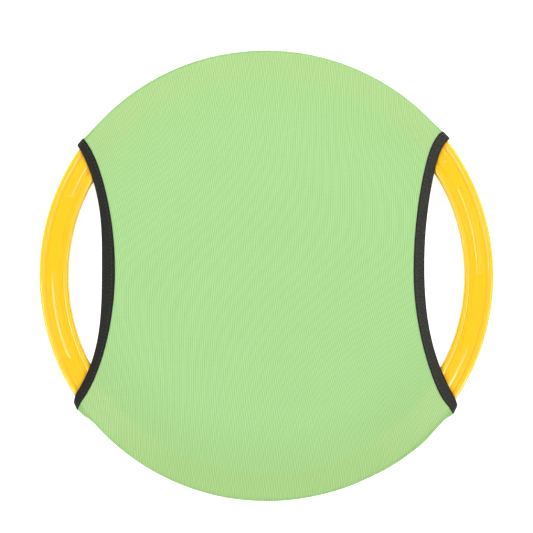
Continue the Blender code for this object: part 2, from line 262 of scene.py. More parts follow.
# The knit past each corner: degrees over which it comes down from the tape to the ring, and its stand-off
# from the ring's side as stops of degrees along the rim and distance.
BULGES = {
    "top_right": (3.0, [(0.0, 0.0), (4.0, -0.1 * MM), (20.0, 0.0), (45.0, 0.3 * MM)]),
    "top_left": (6.0, [
        (0.0, 0.9 * MM), (1.5, 0.3 * MM), (4.0, 0.45 * MM), (33.0, 0.6 * MM), (50.0, 0.3 * MM)]),
    "bottom_left": (6.0, [
        (0.0, 3.3 * MM), (2.6, 2.5 * MM), (5.0, 0.8 * MM), (6.5, 0.1 * MM), (25.0, 0.1 * MM),
        (50.0, 0.3 * MM)]),
    "bottom_right": (6.0, [
        (0.0, 3.9 * MM), (3.0, 1.6 * MM), (6.5, 1.8 * MM), (11.0, 2.6 * MM), (18.0, 1.95 * MM),
        (22.0, 1.55 * MM), (28.0, 0.75 * MM), (44.0, 0.35 * MM)]),
}


def smooth(share):
    share = min(1.0, max(0.0, share))
    return share * share * (3.0 - 2.0 * share)


def along_stops(stops, value):
    """Smooth value between the stops of a short list of (place, height) pairs."""
    if value <= stops[0][0]:
        return stops[0][1]
    for (start, low), (end, high) in zip(stops, stops[1:]):
        if value <= end:
            return low + (high - low) * smooth((value - start) / (end - start))
    return stops[-1][1]


# Materials

def add_node(tree, kind, inputs=None, **settings):
    """Add a shader node, set its settings, and fill or link its inputs."""
    made = tree.nodes.new("ShaderNode" + kind)
    for name, value in settings.items():
        setattr(made, name, value)
    for name, value in (inputs or {}).items():
        if isinstance(value, bpy.types.NodeSocket):
            tree.links.new(value, made.inputs[name])
        else:
            made.inputs[name].default_value = value
    return made


def calc(tree, operation, *values):
    made = add_node(tree, "Math", dict(enumerate(values)), operation=operation)
    return made.outputs[0]


def times(tree, first, second):
    return calc(tree, "MULTIPLY", first, second)


def ramp(tree, factor, low, high, to_low=0.0, to_high=1.0):
    """Map a factor from one range to another with smooth, clamped ends."""
    made = add_node(
        tree, "MapRange",
        {"Value": factor, "From Min": low, "From Max": high, "To Min": to_low, "To Max": to_high},
        interpolation_type="SMOOTHSTEP")
    return made.outputs["Result"]


def mix_colour(tree, factor, first, second, blend="MIX"):
    made = add_node(tree, "Mix", data_type="RGBA", blend_type=blend)
    for index, value in ((0, factor), (6, first), (7, second)):
        if isinstance(value, bpy.types.NodeSocket):
            tree.links.new(value, made.inputs[index])
        else:
            made.inputs[index].default_value = value
    return made.outputs[2]


def shaded(tree, strength, colour, shade):
    """Multiply a colour by a shade, as far as the strength says."""
    return mix_colour(tree, strength, colour, shade, "MULTIPLY")


def bumped(tree, shader, height, distance, strength):
    """Give a shader its fine relief."""
    bump = add_node(tree, "Bump", {"Height": height, "Distance": distance, "Strength": strength})
    tree.links.new(bump.outputs["Normal"], shader.inputs["Normal"])


def new_material(name, roughness, **constants):
    """Principled material with its even values set on the shader's own sockets."""
    material = bpy.data.materials.new(name)
    material.use_nodes = True
    tree = material.node_tree
    shader = tree.nodes["Principled BSDF"]
    shader.inputs["Roughness"].default_value = roughness
    for socket, value in constants.items():
        shader.inputs[socket.replace("_", " ")].default_value = value
    return material, tree, shader


def grey(value):
    return (value, value, value, 1.0)


def place(tree):
    """Object coordinates, split into X, Y and Z."""
    coordinates = add_node(tree, "TexCoord").outputs["Object"]
    split = add_node(tree, "SeparateXYZ", {"Vector": coordinates})
    return coordinates, split.outputs["X"], split.outputs["Y"], split.outputs["Z"]


def ring_radius(tree, x, y):
    """Distance from the disc's axis, measured so that the oval ring has one radius."""
    round_y = calc(tree, "DIVIDE", y, OVAL)
    return calc(tree, "SQRT", calc(tree, "ADD", times(tree, x, x), times(tree, round_y, round_y)))


def noise(tree, vector, scale, detail=3.0, roughness=0.5):
    made = add_node(
        tree, "TexNoise", {"Vector": vector, "Scale": scale, "Detail": detail, "Roughness": roughness})
    return made.outputs["Fac"]


def ring_material():
    """Glossy moulded plastic, very slightly streaked, with fine scratches, painted light on the beads, a
    painted highlight on raised edges, and painted shade in the grooves, down the sides and where something
    lies near.
    """
    material, tree, shader = new_material("yellow_gloss_plastic", 0.16, Coat_Weight=0.7, Coat_Roughness=0.06)
    _, x, y, z = place(tree)
    radius = ring_radius(tree, x, y)
    angle = calc(tree, "ARCTAN2", y, x)
    height = calc(tree, "ABSOLUTE", calc(tree, "SUBTRACT", z, MID_HEIGHT))

    def along_ring(across_rate, along_rate):
        """Noise coordinates that are drawn out along the ring."""
        rates = {"X": times(tree, radius, across_rate), "Y": times(tree, angle, along_rate), "Z": z}
        return add_node(tree, "CombineXYZ", rates).outputs[0]

    flow_place = along_ring(300.0, 5.0)
    flow = noise(tree, flow_place, 1.0)
    body = mix_colour(tree, flow, *PLASTIC)

    # Painted light: both beads are painted paler, and the edges of the bars, lips and nubs a little paler as
    # a painted highlight. The same patchy mask makes the beads' gloss a little rougher.
    patches = noise(tree, flow_place, 2.0, 4.0, 0.6)
    patchiness = ramp(tree, patches, 0.3, 0.6, 0.6, 1.0)
    off_web = calc(
        tree, "MAXIMUM",
        ramp(tree, radius, RING_INNER + 6.4 * MM, RING_INNER + 5.6 * MM),
        ramp(tree, radius, RING_OUTER - 5.8 * MM, RING_OUTER - 5.0 * MM))
    bead_light_and_rub = times(tree, off_web, patchiness)
    body = mix_colour(tree, times(tree, bead_light_and_rub, BEAD_LIGHT_MIX), body, PLASTIC_BEAD_LIGHT)
    facing = add_node(tree, "SeparateXYZ", {"Vector": add_node(tree, "NewGeometry").outputs["Normal"]})
    tilt = calc(tree, "ABSOLUTE", facing.outputs["Z"])
    raised = ramp(tree, height, WEB_HEIGHT + 0.12 * MM, WEB_HEIGHT + 0.4 * MM)
    on_web = calc(tree, "SUBTRACT", 1.0, off_web)
    # Painted highlight: raised edges on the web are painted paler.
    edge_highlight = times(tree, times(tree, times(tree, raised, patchiness), ramp(tree, tilt, 0.985, 0.86)), on_web)
    body = mix_colour(tree, times(tree, edge_highlight, EDGE_HIGHLIGHT_MIX), body, PLASTIC_EDGE_HIGHLIGHT)

    # Painted shade: the colour deepens to orange in both grooves, down the steep sides, and where an
    # ambient-occlusion test finds something near the plastic.
    groove_shade = ramp(tree, height, WEB_HEIGHT - 0.15 * MM, GROOVE_HEIGHT + 0.1 * MM)
    body = mix_colour(tree, times(tree, times(tree, groove_shade, on_web), GROOVE_SHADE_MIX), body, PLASTIC_GROOVE_SHADE)
    # Painted shade down the steep sides.
    sides = ramp(tree, tilt, 0.6, 0.2)
    body = mix_colour(tree, times(tree, sides, SIDE_SHADE_MIX), body, PLASTIC_SIDE_SHADE)
    # Painted shade where the ambient-occlusion test finds something near.
    occlusion = add_node(tree, "AmbientOcclusion", {"Distance": CONTACT_REACH}, samples=16)
    contact_shade = times(tree, ramp(tree, occlusion.outputs["AO"], 0.86, 0.56), ramp(tree, tilt, 0.6, 0.9))
    body = mix_colour(tree, times(tree, contact_shade, CONTACT_SHADE_MIX), body, PLASTIC_CONTACT_SHADE)
    tree.links.new(body, shader.inputs["Base Color"])

    # Scratches run along the ring, in patches of rougher gloss.
    scratches = noise(tree, along_ring(2600.0, 16.0), 1.0, 2.0)
    rub = times(tree, ramp(tree, scratches, 0.6, 0.75), ramp(tree, patches, 0.4, 0.6))
    gloss = calc(tree, "ADD", ramp(tree, flow, 0.3, 0.7, 0.13, 0.17), times(tree, rub, 0.06))
    gloss = calc(tree, "ADD", gloss, times(tree, bead_light_and_rub, 0.03))
    tree.links.new(gloss, shader.inputs["Roughness"])
    ripple = calc(tree, "MULTIPLY_ADD", rub, -0.25, noise(tree, flow_place, 3.0, 2.0))
    bumped(tree, shader, ripple, 0.01 * MM, 0.3)
    return material


def knit_relief(tree, coordinates, x, y):
    """Height of the knit: ribs of both faces, the drifting shade that they make together, loops and yarn."""
    # The lean of the stretched wales, in turns: steady in the middle, fanning out towards both covered rims.
    off_x = calc(tree, "ADD", x, FAN_CENTRE_X)
    off_y = calc(tree, "SUBTRACT", y, FAN_CENTRE_Y)
    square = times(tree, off_y, off_y)
    near_limit = calc(tree, "POWER", calc(tree, "DIVIDE", square, FAN_LIMIT), 2.0)
    square = calc(tree, "DIVIDE", square, calc(tree, "ADD", near_limit, 1.0))
    fan = times(tree, square, times(tree, off_x, FAN_RATE))
    lean = calc(tree, "MULTIPLY_ADD", x, LEAN_ACROSS, times(tree, y, -LEAN_ALONG))
    wander = times(tree, calc(tree, "SUBTRACT", noise(tree, coordinates, 22.0, 2.0), 0.5), LEAN_WANDER)
    lean = calc(tree, "ADD", calc(tree, "ADD", lean, fan), wander)
    near_wale = calc(tree, "ADD", times(tree, x, NEAR_WALES), lean)
    far_wale = calc(tree, "SUBTRACT", times(tree, x, FAR_WALES), lean)

    def wave(turns):
        return calc(tree, "COSINE", times(tree, turns, math.tau))

    near, far, shade = wave(near_wale), wave(far_wale), wave(lean)
    from_middle = calc(tree, "ABSOLUTE", calc(tree, "SUBTRACT", calc(tree, "FRACT", near_wale), 0.5))
    loop = wave(calc(tree, "MULTIPLY_ADD", from_middle, LOOP_LEAN, calc(tree, "DIVIDE", y, COURSE_PITCH)))
    yarn = calc(tree, "SUBTRACT", noise(tree, coordinates, 900.0, 3.0, 0.6), 0.5)
    slub = noise(tree, coordinates, 330.0, 2.0)
    strength = ramp(tree, slub, 0.3, 0.7, 0.6, 1.4)
    wales = times(tree, calc(tree, "ADD", near, far), strength)
    surface = 0.5
    for part, share in ((wales, 0.2), (shade, 0.045), (loop, 0.08), (yarn, 0.35)):
        surface = calc(tree, "MULTIPLY_ADD", part, share, surface)
    return surface


def knit_material():
    """Fine rib knit with its loops, and the wales of the other face showing through as a drifting shade."""
    material, tree, shader = new_material("pale_green_knit", 0.88, Sheen_Weight=0.18, Sheen_Roughness=0.5)
    shader.inputs["Specular IOR Level"].default_value = 0.25
    coordinates, x, y, _ = place(tree)
    radius = ring_radius(tree, x, y)
    surface = knit_relief(tree, coordinates, x, y)
    mottle = noise(tree, coordinates, 26.0)
    dark, pale = mix_colour(tree, mottle, *KNIT_DARK), mix_colour(tree, mottle, *KNIT_PALE)
    cloth = mix_colour(tree, add_node(tree, "Clamp", {"Value": surface}).outputs[0], dark, pale)

    # The ring shows through as a yellower band. Painted shade dims the cloth towards the ring, more towards
    # the bottom, and more so at the lower rim.
    over_ring = times(
        tree, ramp(tree, radius, RING_INNER - 2.5 * MM, RING_INNER + 4.5 * MM),
        ramp(tree, radius, RING_OUTER + 1.0 * MM, RING_OUTER - 3.0 * MM))
    cloth = shaded(tree, times(tree, over_ring, OVER_RING_MIX), cloth, OVER_RING_SHADE)
    low_rim_shade = times(tree, over_ring, ramp(tree, y, -120.0 * MM, -175.0 * MM))
    cloth = shaded(tree, low_rim_shade, cloth, LOW_RIM_PAINTED_SHADE)
    near_rim = times(
        tree, ramp(tree, radius, RING_INNER - 50.0 * MM, RING_INNER - 1.5 * MM),
        calc(tree, "SUBTRACT", 1.0, over_ring))
    dimmed = mix_colour(tree, ramp(tree, y, 60.0 * MM, -160.0 * MM), *NEAR_RIM_PAINTED_SHADES)
    cloth = shaded(tree, near_rim, cloth, dimmed)

    # Painted shade: the cloth is darkened where it turns down round the rim, and most along the upper rim.
    round_rim = ramp(tree, radius, RING_OUTER - 1.6 * MM, RING_OUTER - 0.4 * MM)
    cloth = shaded(tree, times(tree, round_rim, ROUND_RIM_MIX), cloth, ROUND_RIM_PAINTED_SHADE)
    high_rim = times(
        tree, ramp(tree, radius, RING_OUTER - 2.2 * MM, RING_OUTER + 0.1 * MM),
        ramp(tree, y, -60.0 * MM, 60.0 * MM))
    cloth = shaded(tree, high_rim, cloth, HIGH_RIM_PAINTED_SHADE)
    tree.links.new(cloth, shader.inputs["Base Color"])
    tree.links.new(ramp(tree, surface, 0.0, 1.0, 0.95, 0.82), shader.inputs["Roughness"])
    bumped(tree, shader, surface, 0.2 * MM, 0.6)
    return material


def tape_material():
    """Matt charcoal elastic: cross ribs and lengthwise yarns, with near-black lines of painted shade along
    both edges and painted shade towards the lower end, paler on the right-hand tape.

    UVs are in metres, and the "edge" attribute is 1 on the fold and on the open edge.
    """
    material, tree, shader = new_material("charcoal_elastic", 0.9, Sheen_Weight=0.1, Sheen_Roughness=0.6)
    shader.inputs["Specular IOR Level"].default_value = 0.2
    uv = add_node(tree, "UVMap", uv_map="cloth")
    split = add_node(tree, "SeparateXYZ", {"Vector": uv.outputs[0]})
    along, across = split.outputs["X"], split.outputs["Y"]
    coordinates, x, y, _ = place(tree)

    cross = calc(tree, "SINE", times(tree, along, math.tau / TAPE_RIB_PITCH))
    yarns = calc(tree, "SINE", times(tree, across, math.tau / TAPE_YARN_PITCH))
    surface = calc(tree, "MULTIPLY_ADD", times(tree, cross, yarns), 0.3, 0.5)
    surface = calc(tree, "MULTIPLY_ADD", cross, 0.2, surface)
    fuzz = noise(tree, coordinates, 1100.0, 4.0, 0.65)
    fleck = noise(tree, coordinates, 620.0, 2.0)
    surface = calc(tree, "MULTIPLY_ADD", calc(tree, "SUBTRACT", fuzz, 0.5), 0.7, surface)
    surface = calc(tree, "MULTIPLY_ADD", calc(tree, "SUBTRACT", fleck, 0.5), 1.5, surface)

    patch = noise(tree, coordinates, 90.0)
    dark, light = mix_colour(tree, patch, *TAPE_DARK), mix_colour(tree, patch, *TAPE_LIGHT)
    cloth = mix_colour(tree, ramp(tree, surface, 0.05, 1.0), dark, light)
    # The tape is made paler from left to right.
    paler_to_right = mix_colour(tree, ramp(tree, x, -80.0 * MM, 80.0 * MM), grey(0.62), grey(1.3))
    cloth = shaded(tree, 1.0, cloth, paler_to_right)
    # Painted shade: the tape darkens towards its lower end.
    lower_end_shade = ramp(tree, y, -40.0 * MM, -140.0 * MM, 0.0, 0.22)
    cloth = mix_colour(tree, lower_end_shade, cloth, grey(0.0))
    # Painted shade: near-black lines along the fold and the open edge.
    edge = add_node(tree, "Attribute", attribute_name="edge").outputs["Fac"]
    cloth = mix_colour(tree, times(tree, edge, 0.95), cloth, grey(0.004))
    tree.links.new(cloth, shader.inputs["Base Color"])
    bumped(tree, shader, surface, 0.16 * MM, 0.9)
    return material


def thread_material():
    """Black twisted sewing thread."""
    material, tree, shader = new_material("black_thread", 0.55, Sheen_Weight=0.2)
    coordinates, x, y, _ = place(tree)
    twist = calc(tree, "SINE", times(tree, calc(tree, "ADD", x, y), math.tau / THREAD_TWIST_PITCH))
    colour = mix_colour(tree, noise(tree, coordinates, 700.0), *THREAD)
    tree.links.new(colour, shader.inputs["Base Color"])
    bumped(tree, shader, twist, 0.05 * MM, 0.7)
    return material


def floor_material():
    """White studio sweep, bright enough to read as an even white."""
    material, tree, shader = new_material("white_sweep", 0.9)
    shader.inputs["Emission Color"].default_value = grey(1.0)
    shader.inputs["Emission Strength"].default_value = 0.75
    coordinates = add_node(tree, "TexCoord").outputs["Object"]
    colour = mix_colour(tree, noise(tree, coordinates, 3.0), grey(0.9), grey(0.93))
    tree.links.new(colour, shader.inputs["Base Color"])
    return material


# Mesh helpers

def link_object(name, mesh):
    item = bpy.data.objects.new(name, mesh)
    bpy.context.scene.collection.objects.link(item)
    return item


def finish_mesh(name, bm, material, sharp_deg):
    """Turn a bmesh into a named object, shaded smooth up to an angle."""
    bmesh.ops.recalc_face_normals(bm, faces=bm.faces)
    mesh = bpy.data.meshes.new(name)
    bm.to_mesh(mesh)
    bm.free()
    mesh.materials.append(material)
    mesh.shade_smooth()
    mesh.set_sharp_from_angle(angle=math.radians(sharp_deg))
    return link_object(name, mesh)


def to_frame(item, turn=0.0):
    """Apply an object's modifiers, turn it about Z, and move its mesh to its place in the frame."""
    graph = bpy.context.evaluated_depsgraph_get()
    mesh = bpy.data.meshes.new_from_object(item.evaluated_get(graph))
    item.modifiers.clear()
    old = item.data
    item.data = mesh
    bpy.data.meshes.remove(old)
    mesh.name = item.name
    lift = Matrix.Translation((0.0, 0.0, MID_HEIGHT))
    mesh.transform(lift @ Matrix.Diagonal((1.0, OVAL, 1.0, 1.0)) @ Matrix.Rotation(turn, 4, "Z"))
    return item


def join_rows(bm, rows, closed=False):
    """Quads between equal rows of vertices, each row open or closed."""
    for row, after in zip(rows, rows[1:]):
        count = len(row)
        for column in range(count if closed else count - 1):
            beside = (column + 1) % count
            bm.faces.new((row[column], row[beside], after[beside], after[column]))


# Ring

def bead_height(radius, centre, bead):
    """Height of a round bead's upper side at a radius."""
    return RING_HALF - bead + math.sqrt(max(0.0, bead * bead - (radius - centre) ** 2))


def face_height(radius):
    """Height of the ring's face: a bead at each edge, a groove beside each, and the web between."""
    web_middle = (WEB_OUTER + WEB_INNER) / 2.0
    from_flat = abs(radius - web_middle) - ((WEB_OUTER - WEB_INNER) / 2.0 - WEB_SHOULDER)
    web = GROOVE_HEIGHT
    if from_flat < WEB_SHOULDER:
        bend = max(0.0, from_flat) / WEB_SHOULDER
        web = GROOVE_HEIGHT + (WEB_HEIGHT - GROOVE_HEIGHT) * math.sqrt(1.0 - bend * bend)
    outer = bead_height(radius, RING_OUTER - CROWN_OUTER, CROWN_OUTER)
    inner = bead_height(radius, RING_INNER + INNER_SKIRT + CROWN_INNER, CROWN_INNER)
    return max(web, outer, inner)


def bead_side(centre, bead, steps):
    """Points of a bead's section at some steps of its turn from its outer side."""
    turns = [math.pi / 2.0 * step / SIDE_BEAD_STEPS for step in steps]
    return [(centre + bead * math.cos(turn), RING_HALF - bead + bead * math.sin(turn)) for turn in turns]


def ring_section():
    """Closed section of the ring, from its outer side over the front face and back underneath."""
    upper = bead_side(RING_OUTER - CROWN_OUTER, CROWN_OUTER, range(SIDE_BEAD_STEPS))
    radii = list(np.linspace(RING_OUTER - CROWN_OUTER, WEB_OUTER - WEB_SHOULDER, OUTER_FACE_STEPS))
    radii += [LIP_INNER, BAR_OUTER, BAR_INNER]
    inner_crown = RING_INNER + INNER_SKIRT + CROWN_INNER
    radii += list(np.linspace(WEB_INNER + WEB_SHOULDER, inner_crown, INNER_FACE_STEPS))
    upper += [(float(radius), face_height(float(radius))) for radius in radii]
    upper += bead_side(inner_crown, CROWN_INNER, range(SIDE_BEAD_STEPS + 1, 2 * SIDE_BEAD_STEPS + 1))
    upper.append((RING_INNER, RING_HALF - CROWN_INNER - SKIRT_DROP))
    return upper + [(radius, -height) for radius, height in reversed(upper)]


def box_section(inset):
    """Chamfered box section of an arc's cavity, or of the spigot that fills it when inset."""
    outer = RING_OUTER - SIDE_WALL - inset
    inner = RING_INNER + SIDE_WALL + inset
    height = CAVITY_HALF - inset
    chamfer = CAVITY_CHAMFER - inset / 2.0
    upper = [
        (outer, height - chamfer), (outer - chamfer, height),
        (inner + chamfer, height), (inner, height - chamfer)]
    return upper + [(radius, -up) for radius, up in reversed(upper)]


def spin_section(bm, section, stops):
    """Sweep a section loop round Z through the given angles, and return its first and last edge loops."""
    start = Matrix.Rotation(stops[0], 3, "Z")
    corners = [bm.verts.new(start @ Vector((radius, 0.0, height))) for radius, height in section]
    first = []
    for index, corner in enumerate(corners):
        first.append(bm.edges.new((corner, corners[(index + 1) % len(corners)])))
    last = list(first)
    for low, high in zip(stops, stops[1:]):
        steps = max(1, math.ceil(math.degrees(high - low) / RING_STEP_DEG - 0.01))
        swept = bmesh.ops.spin(
            bm, geom=corners + last, cent=(0.0, 0.0, 0.0), axis=(0.0, 0.0, 1.0),
            angle=high - low, steps=steps, use_duplicate=False)
        corners = [part for part in swept["geom_last"] if isinstance(part, bmesh.types.BMVert)]
        last = [part for part in swept["geom_last"] if isinstance(part, bmesh.types.BMEdge)]
    return first, last


def raise_strip(bm, spans, outer, inner, rise, slope, rounding):
    """Raise the web between each pair of angles, on both faces, into a strip with sloping sides."""
    middle = (outer + inner) / 2.0
    slope_angle = slope / middle
    for low, high in spans:
        for side in (1.0, -1.0):
            strip = []
            for face in bm.faces:
                centre = face.calc_center_median()
                on_web = abs(centre.z * side - WEB_HEIGHT) < LEVEL_TOLERANCE
                in_reach = abs(centre.to_2d().length - middle) < (outer - inner) / 2.0
                if on_web and in_reach and low < math.atan2(centre.y, centre.x) < high:
                    strip.append(face)
            raised = bmesh.ops.extrude_face_region(bm, geom=strip)
            corners = [part for part in raised["geom"] if isinstance(part, bmesh.types.BMVert)]
            top = [part for part in raised["geom"] if isinstance(part, bmesh.types.BMFace)]
            for corner in corners:
                radius = corner.co.to_2d().length
                angle = math.atan2(corner.co.y, corner.co.x)
                radius += slope if radius < middle else -slope
                angle = min(high - slope_angle, max(low + slope_angle, angle))
                spot = polar(radius, math.degrees(angle))
                corner.co = (spot.x, spot.y, side * (WEB_HEIGHT + rise))
            bmesh.ops.delete(bm, geom=strip, context="FACES")
            top_set = set(top)
            rim = [edge for face in top for edge in face.edges if not set(edge.link_faces) <= top_set]
            bmesh.ops.bevel(
                bm, geom=rim, offset=rounding, segments=EDGE_SEGMENTS, profile=0.5, affect="EDGES")


def snap_pin(name, radius, low, high, dome, angle):
    """Upright pin with a domed top at the snap point before a joint, as a tool for a Boolean."""
    bm = bmesh.new()
    profile = [(0.0, low), (radius, low), (radius, high)]
    for step in range(1, NUB_DOME_STEPS + 1):
        across = 1.0 - step / NUB_DOME_STEPS
        profile.append((radius * across, high + dome * (1.0 - across * across)))
    corners = [bm.verts.new((out, 0.0, up)) for out, up in profile]
    edges = [bm.edges.new(pair) for pair in zip(corners, corners[1:])]
    bmesh.ops.spin(
        bm, geom=corners + edges, cent=(0.0, 0.0, 0.0), axis=(0.0, 0.0, 1.0),
        angle=math.tau, steps=NUB_SIDES, use_duplicate=False)
    bmesh.ops.remove_doubles(bm, verts=bm.verts, dist=0.001 * MM)
    bmesh.ops.recalc_face_normals(bm, faces=bm.faces)
    middle = (WEB_OUTER + WEB_INNER) / 2.0
    spot = polar(middle, math.degrees(angle - NUB_SETBACK / middle))
    bmesh.ops.translate(bm, verts=bm.verts, vec=(spot.x, spot.y, 0.0))
    mesh = bpy.data.meshes.new(name)
    bm.to_mesh(mesh)
    bm.free()
    return link_object(name, mesh)


def ring_arc(name, start_deg, end_deg, material):
    """Arc with raised bars, a spigot with a snap nub at one end and an open socket at the other."""
    middle = (RING_OUTER + RING_INNER) / 2.0
    half_gap = JOINT_HALF_GAP / middle
    sweep_deg = end_deg - start_deg
    mouth = math.radians(sweep_deg) - half_gap
    tip = -SPIGOT_LENGTH / middle
    root = SPIGOT_ROOT / middle
    bars = []
    for index in (1, 0):
        bar_end = math.radians(sweep_deg - BAR_END_DEG - index * BAR_PITCH_DEG)
        bars.append((bar_end - math.radians(BAR_LENGTH_DEG), bar_end))
    lip_start = mouth - math.radians(LIP_LENGTH_DEG)
    stops = [half_gap] + [angle for span in bars for angle in span] + [lip_start, mouth]

    bm = bmesh.new()
    outside = spin_section(bm, ring_section(), stops)
    cavity = spin_section(bm, box_section(0.0), [root, mouth])
    spigot = spin_section(bm, box_section(SPIGOT_GAP), [tip, half_gap])
    bore = spin_section(bm, box_section(SPIGOT_GAP + SPIGOT_WALL), [tip, root])
    raise_strip(bm, bars, BAR_OUTER, BAR_INNER, BAR_RISE, BAR_SLOPE, BAR_ROUNDING)
    raise_strip(bm, [(lip_start, mouth)], LIP_OUTER, LIP_INNER, LIP_RISE, LIP_SLOPE, LIP_ROUNDING)
    flat_ends = ((outside[1], cavity[1]), (cavity[0], bore[1]), (spigot[0], bore[0]), (outside[0], spigot[1]))
    for outer_loop, inner_loop in flat_ends:
        bmesh.ops.triangle_fill(bm, edges=outer_loop + inner_loop, use_beauty=True)
    arc = finish_mesh(name, bm, material, RING_SHARP_DEG)

    nub_low = CAVITY_HALF - SPIGOT_GAP - SPIGOT_WALL / 2.0
    nub = snap_pin("nub", NUB_RADIUS, nub_low, WEB_HEIGHT, NUB_STAND, 0.0)
    hole_low = CAVITY_HALF - HOLE_OVERRUN
    hole = snap_pin("hole", NUB_HOLE_RADIUS, hole_low, RING_HALF, HOLE_OVERRUN, math.radians(sweep_deg))
    for operation, tool in (("UNION", nub), ("DIFFERENCE", hole)):
        modifier = arc.modifiers.new(operation.lower(), "BOOLEAN")
        modifier.operation = operation
        modifier.solver = "EXACT"
        modifier.object = tool
    to_frame(arc, math.radians(start_deg))
    for tool in (nub, hole):
        bpy.data.objects.remove(tool, do_unlink=True)
    return arc


# Knit panels

FIELD_COLUMNS = 132
FIELD_ROWS = 132
BEND_STEPS = 9
SIDE_STEPS = 9
SEAM_GAP = 0.06 * MM
SEAM_PULL = 0.3 * MM
SEAM_REACH = 1.1 * MM
SEAM_RIPPLE = 0.12 * MM
SEAM_RIPPLE_TURNS = 67.0
SIDE_ROLL = 0.15 * MM
TAUT_MARGIN_DEG = 0.5
SETTLE_ROUNDS = 2500
FOLD_HEIGHT = 0.3 * MM
FOLD_START = 12.0 * MM
FOLD_FADE = 26.0 * MM
FOLD_TURNS = 17.0


def rim_hold(angle_deg, start, end):
    """How the knit is held at an angle between the two ends of a covered rim.

    Gives its clearance over the ring, its stand-off at the side, and its lean along the rim in degrees.
    """
    reaches = []
    for fold, open_corner, bulge in (start, end):
        width = abs(open_corner.angle_deg - fold.angle_deg)
        reaches.append((abs(angle_deg - fold.angle_deg) - width, width, fold, open_corner, bulge))
    away, width, fold, open_corner, bulge = min(reaches, key=lambda reach: reach[0])
    drop_deg, stops = bulge
    if away < 0.0:
        held = fold.mix(open_corner, 1.0 + away / width)
        stand = held.stand
        lean = held.tip_deg - held.angle_deg
    else:
        stand = along_stops(stops, away)
        lean = (open_corner.tip_deg - open_corner.angle_deg) * (1.0 - smooth(away / drop_deg))
    lift = 1.0 - smooth((away - TAUT_MARGIN_DEG) / drop_deg)
    return KNIT_ON_RING + (SLOT_MIDDLE - KNIT_ON_RING) * lift, stand, lean


TOP_RIM = (
    (RIGHT_FOLD.high, RIGHT_OPEN.high, BULGES["top_right"]),
    (LEFT_FOLD.high, LEFT_OPEN.high, BULGES["top_left"]),
)
BOTTOM_RIM = (
    (LEFT_FOLD.low, LEFT_OPEN.low, BULGES["bottom_left"]),
    (RIGHT_FOLD.low.turned(360.0), RIGHT_OPEN.low.turned(360.0), BULGES["bottom_right"]),
)


def field_grid(left, right):
    """Plan points of the flat field, a patch between two open edges and two covered rims."""
    top_angles = np.linspace(left.high.angle_deg, right.high.angle_deg, FIELD_COLUMNS + 1)
    bottom_angles = np.linspace(left.low.angle_deg, right.low.angle_deg + 360.0, FIELD_COLUMNS + 1)
    top = np.array([polar(RIM_RADIUS, angle) for angle in top_angles])
    bottom = np.array([polar(RIM_RADIUS, angle) for angle in bottom_angles])
    left_line = np.array(left.plan_points(RIM_RADIUS, FIELD_ROWS))
    right_line = np.array(right.plan_points(RIM_RADIUS, FIELD_ROWS))
    s = np.linspace(0.0, 1.0, FIELD_COLUMNS + 1)[None, :, None]
    t = np.linspace(0.0, 1.0, FIELD_ROWS + 1)[:, None, None]
    between_rims = (1.0 - t) * bottom[None] + t * top[None]
    between_edges = (1.0 - s) * left_line[:, None] + s * right_line[:, None]
    corners = (
        (1.0 - s) * (1.0 - t) * bottom[0] + s * (1.0 - t) * bottom[-1]
        + (1.0 - s) * t * top[0] + s * t * top[-1])
    return between_rims + between_edges - corners, top_angles, bottom_angles


def settle_height(plan, top_heights, bottom_heights):
    """Height of the taut field over the ring's crest: held at its rims and edges, never inside the ring."""
    radius = np.hypot(plan[..., 0], plan[..., 1])
    floor = np.where(radius > RING_INNER, KNIT_ON_RING, -1.0)
    height = np.full(radius.shape, SLOT_MIDDLE)
    for _ in range(SETTLE_ROUNDS):
        height[-1] = top_heights
        height[0] = bottom_heights
        height[:, 0] = SLOT_MIDDLE
        height[:, -1] = SLOT_MIDDLE
        around = height[:-2, 1:-1] + height[2:, 1:-1] + height[1:-1, :-2] + height[1:-1, 2:]
        height[1:-1, 1:-1] = np.maximum(around / 4.0, floor[1:-1, 1:-1])
    return height


def tension_folds(plan, left, right):
    """Very low folds that run from each corner into the field, where the tape pulls on the knit."""
    rise = np.zeros(plan.shape[:2])
    for edge in (left, right):
        for corner in (edge.low, edge.high):
            tip = polar(RIM_RADIUS, corner.angle_deg)
            inward = np.array((-tip.x, -tip.y)) / tip.length
            offset = plan - np.array(tip)
            reach = np.hypot(offset[..., 0], offset[..., 1])
            turn = np.arctan2(
                inward[0] * offset[..., 1] - inward[1] * offset[..., 0],
                inward[0] * offset[..., 0] + inward[1] * offset[..., 1])
            fade = np.clip(reach / FOLD_START, 0.0, 1.0) * np.exp(-reach / FOLD_FADE)
            rise += FOLD_HEIGHT * fade * np.cos(turn * FOLD_TURNS)
    return rise


def rim_bend(clearance, stand):
    """Points round the bend over the rim, as distances out from its crest with their heights."""
    bend = OUTER_BEAD + clearance
    angles = [math.pi / 2.0 * (1.0 - step / BEND_STEPS) for step in range(1, BEND_STEPS + 1)]
    return [((bend + stand) * math.cos(turn), RIM_SHOULDER + bend * math.sin(turn)) for turn in angles]


def rim_profile(angle_deg, clearance, stand, lean):
    """Points from the field's edge round the rim and down to the seam."""
    corner = Corner(angle_deg, angle_deg + lean, stand)
    points = rim_bend(clearance, stand)
    ripple = SEAM_RIPPLE * math.sin(math.radians(angle_deg) * SEAM_RIPPLE_TURNS)
    for step in range(1, SIDE_STEPS + 1):
        height = RIM_SHOULDER + (SEAM_GAP - RIM_SHOULDER) * step / SIDE_STEPS
        roll = SIDE_ROLL * math.sin(math.pi * step / SIDE_STEPS)
        seam_pull = (SEAM_PULL + ripple) * (1.0 - smooth(height / SEAM_REACH))
        points.append((OUTER_BEAD + clearance + stand + roll - seam_pull, height))
    return [(corner.outside(out), height) for out, height in points]


